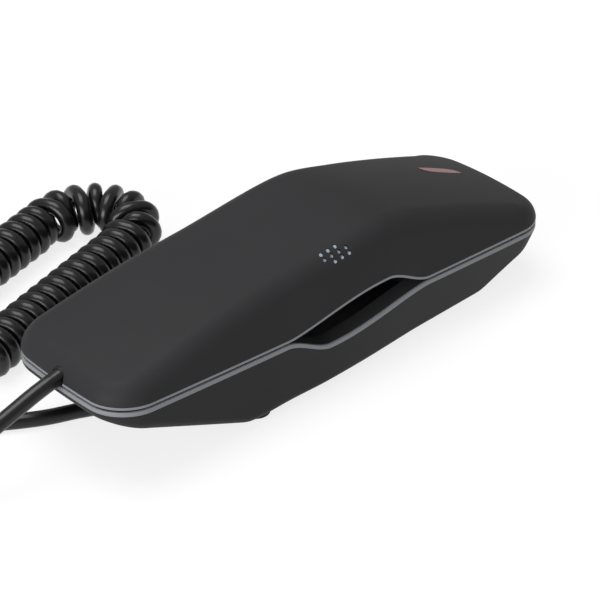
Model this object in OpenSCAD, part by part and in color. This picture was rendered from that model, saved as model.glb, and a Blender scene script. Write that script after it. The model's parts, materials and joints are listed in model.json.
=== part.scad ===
// Corded hotel telephone: a handset with its keypad in the face, lying on a boat-shaped base.
// Millimetres, +Z up, X along the phone with the ear end at +X, origin on the table under the middle.

/* [Outline] */
// Length of the seam between handset and base
seam_len = 206; // [196:1:220]
// Width of the seam at its middle
seam_width = 65.4; // [62:0.2:70]
// Radius of the outline's corners
corner_r = 14.6; // [13:0.2:17]
// How far the middle of each end stands out past its corners
end_bow = 1.7; // [0:0.1:3]
// Share of the width lost between the middle and the ends
side_taper = 0.034; // [0.01:0.002:0.05]
// Height of the seam above the table at the middle
seam_h = 28.4; // [27:0.2:32]
// Tilt of the seam, with the ear end lower
seam_tilt = 2.5; // [1:0.1:4]

/* [Finger opening] */
// Place of the opening's middle along the phone
eye_x = 5; // [2:0.5:8]
// Length of the opening
eye_len = 66; // [56:1:72]
// Rise of the handset's edge and drop of the base's edge
eye_h = 7.3; // [5:0.1:8.5]
// Distance of the highest point from the opening's middle
eye_skew = 14; // [8:0.5:18]

/* [Handset shell] */
// Wall of the handset shell
shell_wall = 2.2; // [1.8:0.1:2.6]
// Lean of the shell's side walls from upright
shell_lean = 13.5; // [10:0.5:17]
// Fillet between the side walls and the back
shell_fillet = 10; // [8:0.5:12]
// Place of the ridge along the phone
ridge_x = 20.2; // [14:0.2:24]
// Height at which the two slopes of the back would meet, above the seam
ridge_z = 28.1; // [26:0.1:31]
// Softness of the ridge
ridge_soft = 2.2; // [1:0.1:4]
// Straight fall of the back from the ridge to the cord end
near_fall = 17.4; // [15:0.1:20]
// Straight fall of the back from the ridge to the ear end
ear_fall = 19.9; // [18.5:0.1:21]
// Where the slope towards the ear end starts to curve down
ear_from = 30; // [28:1:40]
// Extra fall of that curve at the ear end
ear_sag = 4.5; // [3:0.1:7]
// Where the slope towards the cord end starts to curve down
near_from = -35; // [-40:1:-30]
// Extra fall of that curve at the cord end
near_sag = 5.3; // [3:0.1:7]
// Crown of the back across its width
back_crown = 1.6; // [0.8:0.1:2.4]

/* [Handset face] */
// Height of the face plate's visible edge
face_edge = 1.1; // [0.8:0.1:1.4]
// Thickness of the face plate inside the shell
face_thick = 2; // [1.6:0.1:2.4]
// Width of the sound slot across the face
ear_slot_w = 15; // [12:0.5:18]
// Length of the sound slot along the phone
ear_slot_l = 2.2; // [1.6:0.1:3]
// Distance of the sound slot from the ear end
ear_slot_at = 28; // [26:0.5:32]

/* [Keys] */
// Size of a key across the phone
key_w = 17; // [16:0.1:17.2]
// Size of a key along the phone
key_l = 10.6; // [9.6:0.1:11]
// Spacing of the columns
column_pitch = 17.4; // [17.3:0.1:18]
// Spacing of the rows
row_pitch = 13.4; // [13:0.1:14]
// Distance of the last row from the cord end
last_row_at = 34.9; // [34:0.1:36]
// How far a key stands out of the face
key_proud = 0.9; // [0.4:0.1:1.2]
// Travel of a key
key_travel = 0.8; // [0.5:0.1:1]
// Size of the volume button across the phone
volume_w = 21.2; // [18:0.2:24]
// Size of the volume button along the phone
volume_l = 8; // [7:0.1:9]
// Distance of the volume button from the first row
volume_off = 17.8; // [17.2:0.1:18.4]
// Size of the hook button across the phone
hook_w = 20.6; // [18:0.2:22]
// Size of the hook button along the phone
hook_l = 8.8; // [8:0.1:9.4]
// Distance of the hook button from the volume button
hook_off = 24.1; // [23.6:0.1:24.6]
// Travel of the hook button
hook_travel = 2; // [1.5:0.1:2.2]

/* [Base] */
// Wall of the base shell
base_wall = 2.4; // [2:0.1:2.8]
// Height of the pale trim along the base's edge
trim_h = 1.6; // [1.2:0.1:1.8]
// Width of that trim, seen from above
trim_w = 0.9; // [0.7:0.1:1.2]
// Shadow gap between handset and base
seam_gap = 0.85; // [0.4:0.05:1]
// Height of the flat underside above the table
under_z = 2; // [1.6:0.1:2.4]
// Where the underside starts to rise towards the cord end
rise_near = -43.4; // [-46:0.2:-41]
// Where the underside starts to rise towards the ear end
rise_far = 72.3; // [70:0.1:75]
// Depth of the underside below the seam at the cord end
near_deep = 4.7; // [4.4:0.1:6]
// Depth of the underside below the seam at the ear end
far_deep = 4.6; // [4.4:0.1:7]
// Diameter of a foot
foot_d = 10; // [8:0.5:11]
// Height of the finger well's floor above the table, under the middle
well_z = 16.4; // [15.4:0.2:17.4]

/* [Cord] */
// Thickness of the cord
cord_d = 5.7; // [5:0.1:5.7]
// Outer diameter of the curls
curl_od = 19; // [18.4:0.1:20]
// Pitch of the curls where the cord lies straight
curl_pitch = 6.3; // [6.3:0.05:7]
// Number of curls
curl_count = 39; // [30:1:44]

/* [Hidden] */
$fn = 48;

// Colours of the object
BLACK = "#2b2b2d";
GREY = "#7c7e84";
RED = "#c8202c";
BOARD = "#2f6b45";
STEEL = "#b4b6ba";
PALE = "#9fb4c0";

// Clearances
seat = 0.05;
fit = 0.3;
slip = 0.15;

// Slopes of the base's underside towards its ends, each eased in over a short stretch
half_len = seam_len / 2;
half_width = seam_width / 2;
under_soft = 1.2;
end_drop = half_len * tan(seam_tilt);
under_near = (seam_h + end_drop - near_deep - under_z) / (half_len + rise_near);
under_far = (seam_h - end_drop - far_deep - under_z) / (half_len - rise_far);

// Steps of the outline: end faces, corners, and sides with points at the opening and the underside's bends
end_steps = 3;
corner_steps = 7;
eye_steps = 20;
least_corner = 2;
side_end = half_len - corner_r;
eye_from = eye_x - eye_len / 2;
eye_to = eye_x + eye_len / 2;
eye_margin = 2;
eye_hi = eye_to + eye_margin;
eye_lo = eye_from - eye_margin;
side_x = concat(
    [for (s = [1, 0, -1]) rise_far + s * under_soft / under_far],
    [(rise_far + eye_hi) / 2],
    [for (i = [0 : eye_steps]) eye_hi + (eye_lo - eye_hi) * i / eye_steps],
    [for (s = [1, 0, -1]) rise_near + s * under_soft / under_near],
    [(rise_near - side_end) / 2]
);
first_side = end_steps + corner_steps;
last_side = first_side + len(side_x);
half_last = last_side + 1 + corner_steps + end_steps;
ring_n = 2 * half_last;

// Point k of the outline's +Y half, from the ear tip to the cord tip, drawn in by d
function plain_point(k, d) =
    let (
        a = half_len - d,
        b = half_width - d,
        r = max(corner_r - d, least_corner),
        far = k <= first_side,
        turn = far ? k - end_steps : k - last_side - 1,
        angle = (far ? 0 : 90) + 90 * turn / corner_steps
    )
    k < end_steps ? [a, (b - r) * k / end_steps] :
    k > last_side + 1 + corner_steps ? [-a, (b - r) * (half_last - k) / end_steps] :
    k > first_side && k <= last_side ? [side_x[k - first_side - 1] * (a - r) / side_end, b] :
    [(far ? 1 : -1) * (a - r) + r * cos(angle), b - r + r * sin(angle)];

// Point i of the whole outline, with the bowed ends and the tapered sides
function edge_point(i, d) =
    let (
        k = i <= half_last ? i : ring_n - i,
        side = i <= half_last ? 1 : -1,
        p = plain_point(k, d),
        quarter = seam_len / 4,
        reach = max(0, min(1, (abs(p[0]) - quarter) / quarter)),
        bow = end_bow * pow(p[1] / half_width, 2) * reach
    )
    [p[0] - sign(p[0]) * bow, side * p[1] * (1 - side_taper * pow(p[0] / half_len, 2))];

function outline(d) = [for (i = [0 : ring_n - 1]) edge_point(i, d)];

// Rise of the handset's edge at the finger opening, and the mirrored drop of the base's edge
eye_power = 1.4;
eye_ease = 0.7;
function eye_rise(x) =
    let (s = x - eye_x, half = eye_len / 2, t = (half - s) / (half - eye_skew))
    abs(s) >= half ? 0 :
    s <= eye_skew ? eye_h * pow(sin(90 * (s + half) / (eye_skew + half)), eye_power) :
    eye_h * (eye_ease * t * t * (3 - 2 * t) + (1 - eye_ease) * t);
function eye_drop(x) = eye_rise(2 * eye_x - x);

// Back of the handset above the seam
near_slope = near_fall / (half_len + ridge_x);
ear_slope = ear_fall / (half_len - ridge_x);
near_droop = near_sag / pow(half_len + near_from, 2);
ear_droop = ear_sag / pow(half_len - ear_from, 2);
function back_line(x) =
    let (
        near = ridge_z - near_slope * (ridge_x - x),
        ear = ridge_z - ear_slope * (x - ridge_x)
    )
    -ridge_soft * ln(exp(-near / ridge_soft) + exp(-ear / ridge_soft))
    - ear_droop * pow(max(0, x - ear_from), 2) - near_droop * pow(max(0, near_from - x), 2);
back_half = 25;
function back_z(x, y) = back_line(x) + back_crown * (1 - pow(y / back_half, 2));
shell_rim = function (x) face_edge + seat + eye_rise(x);
shell_top = function (x, y) back_z(x, y);
shell_slant = function (x) shell_lean;

// Underside of the base above the table, flat with a rise towards each end, and its depth below the seam
function eased_ramp(a) =
    a < -under_soft ? 0 : a > under_soft ? a : pow(a + under_soft, 2) / (4 * under_soft);
function under_line(x) =
    under_z + eased_ramp(under_near * (rise_near - x)) + eased_ramp(under_far * (x - rise_far));
function under_depth(x) = (seam_h - under_line(x)) / cos(seam_tilt) - x * tan(seam_tilt);
rim_depth = seam_gap + trim_h;
base_rim = function (x) rim_depth + seat + eye_drop(x);
base_under = function (x, y) under_depth(x);
lean_mid = 8.78;
lean_rate = 0.139;
lean_least = 4;
base_slant = function (x) max(lean_least, lean_mid + lean_rate * x);
base_fillet = 4.4;

// One section of a pillow-shaped wall: from the rim up the leaning side, round the fillet and over the top
look_in = 8;
look_step = 4;
wall_share = 0.9;
spine_reach = 0.9;
function section(i, start, drop, rim, top, slant, fillet, arc_n, top_n) =
    let (
        edge = edge_point(i, start),
        z0 = rim(edge[0]),
        lean = slant(edge[0]),
        near = edge_point(i, look_in),
        far = edge_point(i, look_in + look_step),
        z_near = top(near[0], near[1]) - drop,
        rise = (top(far[0], far[1]) - drop - z_near) / look_step,
        steep = 1 / tan(lean),
        d_corner = (z_near - rise * look_in - z0 + steep * start) / (steep - rise),
        z_corner = z0 + (d_corner - start) * steep,
        up = 90 - lean,
        flat = atan(rise),
        bend = tan((up - flat) / 2),
        round = min(fillet, wall_share * (d_corner - start) / sin(lean) / bend),
        d_mid = d_corner - round * bend * cos(up) + round * sin(up),
        z_mid = z_corner - round * bend * sin(up) - round * cos(up),
        arc = [
            for (k = [0 : arc_n])
                let (angle = up + (flat - up) * k / arc_n)
                concat(edge_point(i, d_mid - round * sin(angle)), z_mid + round * cos(angle))
        ],
        last = arc[arc_n],
        spine = [max(-side_end, min(side_end, last[0])) * spine_reach, 0],
        lift = last[2] - (top(last[0], last[1]) - drop)
    )
    concat([concat(edge, z0)], arc, [
        for (m = [1 : top_n])
            let (
                f = spine_reach * m / top_n,
                p = [last[0] + (spine[0] - last[0]) * f, last[1] * (1 - f)]
            )
            concat(p, top(p[0], p[1]) - drop + lift * (1 - f))
    ]);

// Triangles between the rings of a closed skin, with a cap across its first and last rings
function skin_faces(rows, n) = concat(
    [for (j = [0 : rows - 2], i = [0 : n - 1])
        let (a = j * n + i, b = j * n + (i + 1) % n) [a, b, a + n]],
    [for (j = [0 : rows - 2], i = [0 : n - 1])
        let (a = j * n + i, b = j * n + (i + 1) % n) [b, b + n, a + n]],
    cap_faces(0, n, false),
    cap_faces((rows - 1) * n, n, true)
);
function turned(f, flip) = flip ? [f[2], f[1], f[0]] : f;
function cap_faces(base, n, flip) =
    let (half = n / 2)
    concat(
        [turned([base, base + n - 1, base + 1], flip)],
        [for (k = [1 : half - 2]) turned([base + k, base + n - k, base + k + 1], flip)],
        [for (k = [1 : half - 2]) turned([base + k + 1, base + n - k, base + n - k - 1], flip)],
        [turned([base + half - 1, base + half + 1, base + half], flip)]
    );

// Rings of a hollow pillow, from the middle of its outside over the rim to the middle of its inside
outer_arc = 5;
outer_top = 3;
inner_arc = 3;
inner_top = 2;
function hollow_rings(wall, rim, top, slant, fillet) =
    let (
        outside = [for (i = [0 : ring_n - 1])
            section(i, 0, 0, rim, top, slant, fillet, outer_arc, outer_top)],
        inside = [for (i = [0 : ring_n - 1])
            section(i, wall, wall, rim, top, slant, fillet - wall / 2, inner_arc, inner_top)],
        out_n = len(outside[0]),
        in_n = len(inside[0])
    )
    concat(
        [for (j = [out_n - 1 : -1 : 0], i = [0 : ring_n - 1]) outside[i][j]],
        [for (j = [0 : in_n - 1], i = [0 : ring_n - 1]) inside[i][j]]
    );
function upside_down(points) = [for (p = points) [p[0], p[1], -p[2]]];
function backwards(faces) = [for (f = faces) [f[2], f[1], f[0]]];
hollow_rows = (2 + outer_arc + outer_top) + (2 + inner_arc + inner_top);

module handset_form() {
    polyhedron(
        hollow_rings(shell_wall, shell_rim, shell_top, shell_slant, shell_fillet),
        skin_faces(hollow_rows, ring_n)
    );
}

module base_form() {
    polyhedron(
        upside_down(hollow_rings(base_wall, base_rim, base_under, base_slant, base_fillet)),
        backwards(skin_faces(hollow_rows, ring_n))
    );
}

// Placing: at_seam puts what is drawn about the seam at its height and tilt
module at_seam() {
    translate([0, 0, seam_h]) rotate([0, seam_tilt, 0]) children();
}

// Height above the table of a point at x and z of the seam frame
function table_z(x, z) = seam_h + z * cos(seam_tilt) - x * sin(seam_tilt);

tall = 60;
module outline_block(d) {
    translate([0, 0, -tall / 2]) linear_extrude(tall) polygon(outline(d));
}

// Slab between two curves of the side view, right across the phone or over one stretch of it
slab_x = concat([half_len + 1], side_x, [-half_len - 1]);
module slab(low, high, across = seam_width + 2) {
    under = [for (x = slab_x) [x, low(x)]];
    over = [for (i = [len(slab_x) - 1 : -1 : 0]) [slab_x[i], high(slab_x[i])]];
    rotate([90, 0, 0])
        linear_extrude(across, center = true)
            polygon(concat(under, over));
}

// Rectangle with round corners, with x along the phone
corner_n = 6;
function round_rect(l, w, r) = [
    for (q = [0 : 3], s = [0 : corner_n])
        let (angle = 90 * (q + s / corner_n), sx = q == 0 || q == 3 ? 1 : -1, sy = q < 2 ? 1 : -1)
        [sx * (l / 2 - r) + r * cos(angle), sy * (w / 2 - r) + r * sin(angle)]
];

// Layout of the face: the sound slot from the ear end, the keys and buttons from the cord end
function from_ear(d) = half_len - d;
function from_cord(d) = d - half_len;
ear_x = from_ear(ear_slot_at);
row_n = 5;
function row_x(row) = from_cord(last_row_at + (row_n - 1 - row) * row_pitch);
function column_y(column) = (column - 1) * column_pitch;
volume_x = row_x(0) + volume_off;
hook_x = volume_x + hook_off;
volume_flat = 0.8;
volume_corner = (volume_l - volume_flat) / 2;
ear_corner = ear_slot_l / 2 - seat;
key_gap = 0.3;
key_corner = 1;
row_w = 2 * column_pitch + key_w + 2 * key_gap;
row_l = key_l + 2 * key_gap;
row_corner = 1.3;
mic_x = from_cord(19);
mic_hole = 1.6;
face_screw = [from_cord(13), 18];
screw_d = 2.6;
head_d = 5;
head_h = 1.2;

// Inner faces: levels above the seam of what is stacked behind the face
flange_t = 0.8;
flange_w = 0.8;
function highest(x, l) = max([for (s = [-1 : 0.25 : 1]) eye_rise(x + s * l / 2)]);
function flange_z(x, l) = highest(x, l + 2 * flange_w) + face_thick + slip;
key_back = flange_z(row_x(0), key_l) + flange_t + slip;
mat_z = key_back + key_travel + slip;
mat_t = 0.8;
board_t = 1.2;
board_z = mat_z + mat_t + seat;
volume_back = flange_z(volume_x, volume_l) + flange_t;
hook_rest = flange_z(hook_x, hook_l) + hook_travel;
switch_room = 2.6;
switch_z = max(hook_rest + flange_t, volume_back + key_travel) + switch_room;
switch_t = 1.2;

// Posts that carry the two boards on the face
post_d = 4;
post_off = [post_d / 2 + flange_w + fit, 4.4, 5.4, 6];
board_post_y = [10.5, 22.5];
switch_post_y = 11;
board_post = [
    [row_x(row_n - 1) - key_l / 2 - post_off[0], board_post_y[0]],
    [row_x(0) + key_l / 2 + post_off[1], board_post_y[1]]
];
switch_post = [
    [volume_x + volume_l / 2 + post_off[2], switch_post_y],
    [hook_x + hook_l / 2 + post_off[3], switch_post_y]
];
board_rim = 2.4;
board_w = [2 * board_post_y[0] + post_d + 1, 2 * board_post_y[1] + post_d + 1];
switch_board_w = 2 * switch_post_y + post_d + 2;
mat_w = [row_w - 12.4, row_w - 6.4];

module post(x, y, top) {
    translate([x, y, eye_rise(x) + face_thick / 2])
        cylinder(d = post_d, h = top - eye_rise(x) - face_thick / 2);
}

module both_sides(p) {
    for (side = [-1, 1]) translate([p[0], side * p[1], 0]) children();
}

module handset_face() color(GREY) at_seam() {
    difference() {
        union() {
            intersection() {
                outline_block(0);
                slab(function (x) eye_rise(x), function (x) eye_rise(x) + face_edge);
            }
            intersection() {
                outline_block(shell_wall + 2 * fit);
                slab(function (x) eye_rise(x), function (x) eye_rise(x) + face_thick);
            }
            for (side = [-1, 1]) {
                for (p = board_post) post(p[0], side * p[1], board_z);
                for (p = switch_post) post(p[0], side * p[1], switch_z);
            }
        }
        for (row = [0 : row_n - 1])
            translate([row_x(row), 0, -tall / 2])
                linear_extrude(tall) polygon(round_rect(row_l, row_w, row_corner));
        window(volume_x, volume_l + 2 * key_gap, volume_w + 2 * key_gap, volume_corner);
        window(hook_x, hook_l + 2 * key_gap, hook_w + 2 * key_gap, key_corner);
        window(ear_x, ear_slot_l, ear_slot_w, ear_corner);
        translate([mic_x, 0, -1]) cylinder(d = mic_hole, h = face_thick + 2);
        both_sides(face_screw) {
            translate([0, 0, -1]) cylinder(d = screw_d + fit, h = face_thick + 2);
            translate([0, 0, -1]) cylinder(d = head_d + 2 * fit, h = 1 + head_h - seat);
        }
        at_exit() cord_hole();
    }
}

// Straight hole through the face, for a button or for sound
module window(x, l, w, r) {
    translate([x, 0, -tall / 2]) linear_extrude(tall) polygon(round_rect(l, w, r));
}

// Way of the cord out of the handset's end: at_exit turns +Z along it, inwards and a little upwards
exit_z = 1.8;
exit_dip = 14;
gland_from = 1.5;
gland_l = 6;
notch_slip = 0.4;
notch_d = cord_d + 2 * notch_slip;
notch_out = 4;
module at_exit() {
    translate([-half_len, 0, exit_z]) rotate([0, 90 - exit_dip, 0]) children();
}

module cord_hole() {
    translate([0, 0, -notch_out]) cylinder(d = notch_d, h = notch_out + gland_from + gland_l + seat);
}

// Ringer behind the small holes in the side of the handset
grille_at = [-1.8, 6.05 - half_width, 23.1];
grille_up = 50;
grille_turn = 8;
hole_d = 1.7;
hole_step = [3.28, 2.23];
hole_sides = 20;
hole_rows = [[0, 2], [0, 3], [1, 3]];
hole_places = [
    for (row = [0 : 2], column = [hole_rows[row][0] : hole_rows[row][1]])
        [(column - 1.5) * hole_step[0], (1 - row) * hole_step[1]]
];
cut_deep = 6;
module at_grille() {
    translate(grille_at) rotate([0, -grille_turn, 0]) rotate([90 - grille_up, 0, 0]) children();
}

module grille_holes() {
    at_grille()
        for (p = hole_places)
            translate([p[0], p[1], -cut_deep]) cylinder(d = hole_d, h = 2 * cut_deep, $fn = hole_sides);
}

// Lamp on the slope towards the ear end: a pointed lens let into the back
lamp_at = [from_ear(23.3), 5.9];
lamp_len = 19.2;
lamp_w = 4.6;
lamp_turn = -20;
lamp_lean = 0.6;
lamp_slope = atan(ear_slope + 2 * ear_droop * max(0, lamp_at[0] - ear_from));
lamp_proud = 0.1;
lamp_flange = [1, 2, 0.9];
lamp_drop = shell_wall / cos(lamp_slope) + 2 * fit;
led_size = [6, 3, 1.2];
led_corner = 0.4;
lamp_n = 8;
function lens_edge(l, w, t, side) = [t * l / 2, w / 2 * (1 - pow(t, 4)) * (side + lamp_lean * t)];
function lens_shape(l, w) = concat(
    [for (i = [0 : lamp_n]) lens_edge(l, w, -1 + 2 * i / lamp_n, -1)],
    [for (i = [lamp_n - 1 : -1 : 1]) lens_edge(l, w, -1 + 2 * i / lamp_n, 1)]
);
module at_lamp() {
    translate([lamp_at[0], lamp_at[1], back_z(lamp_at[0], lamp_at[1])])
        rotate([0, lamp_slope, 0]) rotate([0, 0, lamp_turn]) children();
}

boss_d = 6.4;
pilot_d = 2.1;
thread_slip = 0.1;
screw_l = 7;
boss_sink = 0.4;
boss_top = back_z(face_screw[0], face_screw[1]) - shell_wall * (1 - boss_sink);
module handset_shell() color(BLACK) at_seam() {
    difference() {
        union() {
            handset_form();
            both_sides(face_screw)
                translate([0, 0, face_thick + seat]) cylinder(d = boss_d, h = boss_top - face_thick);
        }
        both_sides(face_screw) cylinder(d = pilot_d, h = screw_l + 1);
        grille_holes();
        at_lamp() translate([0, 0, -cut_deep])
            linear_extrude(2 * cut_deep) polygon(lens_shape(lamp_len, lamp_w));
        at_exit() cord_hole();
    }
}

module lamp_lens() color(RED) at_seam() at_lamp() {
    translate([0, 0, -lamp_drop - lamp_proud])
        linear_extrude(lamp_drop + 2 * lamp_proud)
            polygon(lens_shape(lamp_len - 2 * slip, lamp_w - 2 * slip));
    translate([0, 0, -lamp_drop - lamp_flange[2]])
        linear_extrude(lamp_flange[2])
            polygon(round_rect(lamp_len + lamp_flange[0], lamp_w + lamp_flange[1], lamp_flange[0]));
}

module lamp_led() color(PALE) at_seam() at_lamp() {
    translate([0, 0, -lamp_drop - lamp_flange[2] - slip - led_size[2]])
        linear_extrude(led_size[2]) polygon(round_rect(led_size[0], led_size[1], led_corner));
}

module handset_screws() color(STEEL) at_seam() {
    both_sides(face_screw) {
        cylinder(d = head_d, h = head_h - 2 * seat);
        cylinder(d = pilot_d - thread_slip, h = screw_l);
    }
}

module handset_gland() color(BLACK) at_seam() at_exit()
    translate([0, 0, gland_from]) cylinder(d = notch_d - fit, h = gland_l);

// Sound pieces
ear_d = 28;
ear_h = 3.2;
gasket_t = 0.8;
gasket_rim = 3.5;
ear_step = 5;
ear_off = 2;
ear_mid = ear_x - ear_off;
module earpiece_gasket() color("#3a3a3a") at_seam()
    translate([ear_mid, 0, face_thick + seat]) difference() {
        cylinder(d = ear_d, h = gasket_t);
        translate([0, 0, -1]) cylinder(d = ear_d - 2 * gasket_rim, h = gasket_t + 2);
    }

module earpiece() color("#8c8f94") at_seam()
    translate([ear_mid, 0, face_thick + gasket_t + 2 * seat]) {
        cylinder(d = ear_d, h = ear_h / 2);
        cylinder(d = ear_d - 2 * ear_step, h = ear_h);
    }

mic_d = 9.7;
mic_h = 5;
module microphone() color("#8c8f94") at_seam()
    translate([mic_x, 0, face_thick + seat]) cylinder(d = mic_d, h = mic_h);

ringer_d = 10;
ringer_depth = 4.8;
ringer_h = 3;
ringer_step = 0.8;
ringer_rim = 1;
cloth_t = 1.6;
cloth_rim = [1.5, 0.8];
cloth_in = 0.75;
module ringer() color("#c9a24a") at_seam() at_grille()
    translate([0, 0, -ringer_depth - ringer_h - slip]) {
        cylinder(d = ringer_d, h = ringer_h - ringer_step);
        cylinder(d = ringer_d - 2 * ringer_rim, h = ringer_h);
    }

// Pale felt behind the holes, pressed a little way into each of them
module ringer_cloth() color(PALE) at_seam() at_grille() translate([0, 0, -ringer_depth]) {
    linear_extrude(cloth_t)
        polygon(round_rect(
            3 * hole_step[0] + 2 * cloth_rim[0], 2 * hole_step[1] + 2 * cloth_rim[1], cloth_rim[1]
        ));
    for (p = hole_places)
        translate([p[0], p[1], 0])
            cylinder(d = hole_d - 2 * slip, h = ringer_depth - cloth_in, $fn = hole_sides);
}

// Boards and switches
module keypad_mat() color("#b9bcbf") at_seam()
    translate([0, 0, mat_z]) linear_extrude(mat_t)
        polygon(board_plan(row_x(row_n - 1) - key_l / 2, row_x(0) + key_l / 2, mat_w[0], mat_w[1]));

function board_plan(from, to, w_from, w_to) =
    [[from, -w_from / 2], [to, -w_to / 2], [to, w_to / 2], [from, w_from / 2]];

module keypad_board() color(BOARD) at_seam()
    translate([0, 0, board_z]) linear_extrude(board_t)
        polygon(board_plan(
            board_post[0][0] - board_rim, board_post[1][0] + board_rim, board_w[0], board_w[1]
        ));

module switch_board() color(BOARD) at_seam()
    translate([0, 0, switch_z]) linear_extrude(switch_t)
        polygon(board_plan(
            volume_x - volume_l / 2, switch_post[1][0] + board_rim, switch_board_w, switch_board_w
        ));

switch_size = [6, 6];
hook_switch_size = [6, 12];
switch_corner = 0.5;
module volume_switch() color("#55585c") at_seam()
    translate([volume_x, 0, volume_back + key_travel + slip])
        linear_extrude(switch_z - seat - volume_back - key_travel - slip)
            polygon(round_rect(switch_size[0], switch_size[1], switch_corner));

module hook_switch() color("#55585c") at_seam()
    translate([hook_x, 0, hook_rest + flange_t + slip])
        linear_extrude(switch_z - seat - hook_rest - flange_t - slip)
            polygon(round_rect(hook_switch_size[0], hook_switch_size[1], switch_corner));

// A button: its cap follows the face, and its flange holds it behind the window
button_reach = 4;
module button(x, y, l, w, r, out, flange, back, shift = 0, side = flange_w) {
    reach = l / 2 + button_reach;
    cut = [for (s = [-1 : 0.25 : 1]) [x + s * reach, eye_rise(x + s * reach) - out]];
    translate([0, 0, shift]) intersection() {
        translate([x, y, -tall / 2]) union() {
            linear_extrude(tall / 2 + back) polygon(round_rect(l, w, r));
            translate([0, 0, tall / 2 + flange])
                linear_extrude(flange_t) polygon(round_rect(l + 2 * flange_w, w + 2 * side, r));
        }
        translate([0, y, 0]) rotate([90, 0, 0])
            linear_extrude(w + 2 * side + 2, center = true)
                polygon(concat(cut, [[x + reach, tall], [x - reach, tall]]));
    }
}

module key(row, column) color(BLACK) at_seam()
    button(
        row_x(row), column_y(column), key_l, key_w, key_corner, key_proud,
        flange_z(row_x(row), key_l), key_back, side = 0
    );

module volume_key() color(RED) at_seam()
    button(
        volume_x, 0, volume_l, volume_w, volume_corner, key_proud,
        flange_z(volume_x, volume_l), volume_back
    );

hook_out = 0.5;
module hook_plunger() color(GREY) at_seam()
    button(
        hook_x, 0, hook_l, hook_w, key_corner, hook_out,
        flange_z(hook_x, hook_l), flange_z(hook_x, hook_l) + flange_t, hook_travel
    );

// Base: shell, trim and cradle
pocket_to = -48;
pocket_l = 26;
pocket_from = pocket_to - pocket_l;
pocket_top = 14.4;
pocket_wall = 2;
gland_bay = [0, 11];
jack_bay = [-14, 15];
foot_at = [[-36, half_width - 10.2], [58, half_width - 20.7]];
foot_inset = 0.8;
screw_at = [[eye_x - 19, half_width - 13.7], [eye_x + 40, half_width - 16.7]];
pad_d = 9;
pad_h = 2;
pad_sink = 0.2;
base_screw_d = 3;
base_head_d = 5.6;
base_head_h = 1.8;
base_pilot_d = 2.5;
base_screw_l = 8;
floor_z = under_z + base_wall;

module pocket(bay, grow) {
    translate([pocket_from - grow, bay[0] - bay[1] / 2 - grow, -1])
        cube([pocket_to - pocket_from + 2 * grow, bay[1] + 2 * grow, pocket_top + 1 + grow]);
}

jack_l = 16;
jack_w = 14;
jack_deep = 11;
board_size = [20, 17, 1.4];
board_off = 1;
jack_h = 7;
jack_open = [11.8, 5.6];
jack_x = pocket_to + pocket_wall + slip;
jack_z = under_line(jack_x) + base_wall / cos(atan(under_near)) + 2 * seat;
jack_lip = 0.7;
base_gland_wall = 0.95;
base_gland_d = cord_d + 2 * base_gland_wall;
base_gland_lip = 8.1;
lead_z = jack_z + base_gland_lip / 2 + fit;
base_gland_l = 8;
base_gland_out = 3.4;
module base_shell() color(BLACK) {
    difference() {
        union() {
            at_seam() base_form();
            intersection() {
                union() {
                    pocket(gland_bay, pocket_wall);
                    pocket(jack_bay, pocket_wall);
                    for (p = screw_at) both_sides(p)
                        translate([0, 0, under_z + pad_sink])
                            cylinder(d = pad_d, h = base_wall + pad_h - pad_sink);
                }
                base_inside();
            }
        }
        pocket(gland_bay, 0);
        pocket(jack_bay, 0);
        translate([pocket_to - 1, gland_bay[0], lead_z]) rotate([0, 90, 0])
            cylinder(d = base_gland_d + fit, h = pocket_wall + 2);
        translate([pocket_to - 1, jack_bay[0] - jack_open[0] / 2, jack_z + jack_lip])
            cube([pocket_wall + 2, jack_open[0], jack_open[1]]);
        for (p = foot_at) both_sides(p)
            translate([0, 0, -1]) cylinder(d = foot_d + fit, h = under_z + foot_inset + 1);
        for (p = screw_at) both_sides(p) {
            translate([0, 0, -1]) cylinder(d = base_screw_d + fit, h = floor_z + pad_h + 2);
            translate([0, 0, -1]) cylinder(d = base_head_d + fit, h = under_z + 1 + base_head_h);
        }
    }
}

// Room inside the base's walls, for what is built onto the shell from within
module base_inside() {
    inside_wall = base_wall / 2;
    side_room = 6;
    under = [for (x = slab_x) [x, -under_depth(x) + inside_wall]];
    at_seam() intersection() {
        outline_block(base_wall + side_room);
        rotate([90, 0, 0]) linear_extrude(seam_width, center = true)
            polygon(concat(under, [[-half_len, 0], [half_len, 0]]));
    }
}

// Ring that follows the base's edge, between two insets and two depths below it
module rim_ring(from, to, low, high) {
    difference() {
        intersection() {
            outline_block(from);
            slab(function (x) -low - eye_drop(x), function (x) -high - eye_drop(x));
        }
        outline_block(to);
    }
}

// Trim: a narrow rim in sight, and a ledge behind it on which the lip of the cradle's flange lies
flange_drop = 0.5;
lip_t = (trim_h - flange_drop - slip) / 2;
lip_top = seam_gap + flange_drop;
ledge_top = lip_top + lip_t + slip;
module base_trim() color(GREY) at_seam() difference() {
    union() {
        rim_ring(0, trim_w, rim_depth, seam_gap);
        rim_ring(0, base_wall, rim_depth, ledge_top);
    }
    at_exit() cord_hole();
}

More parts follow.
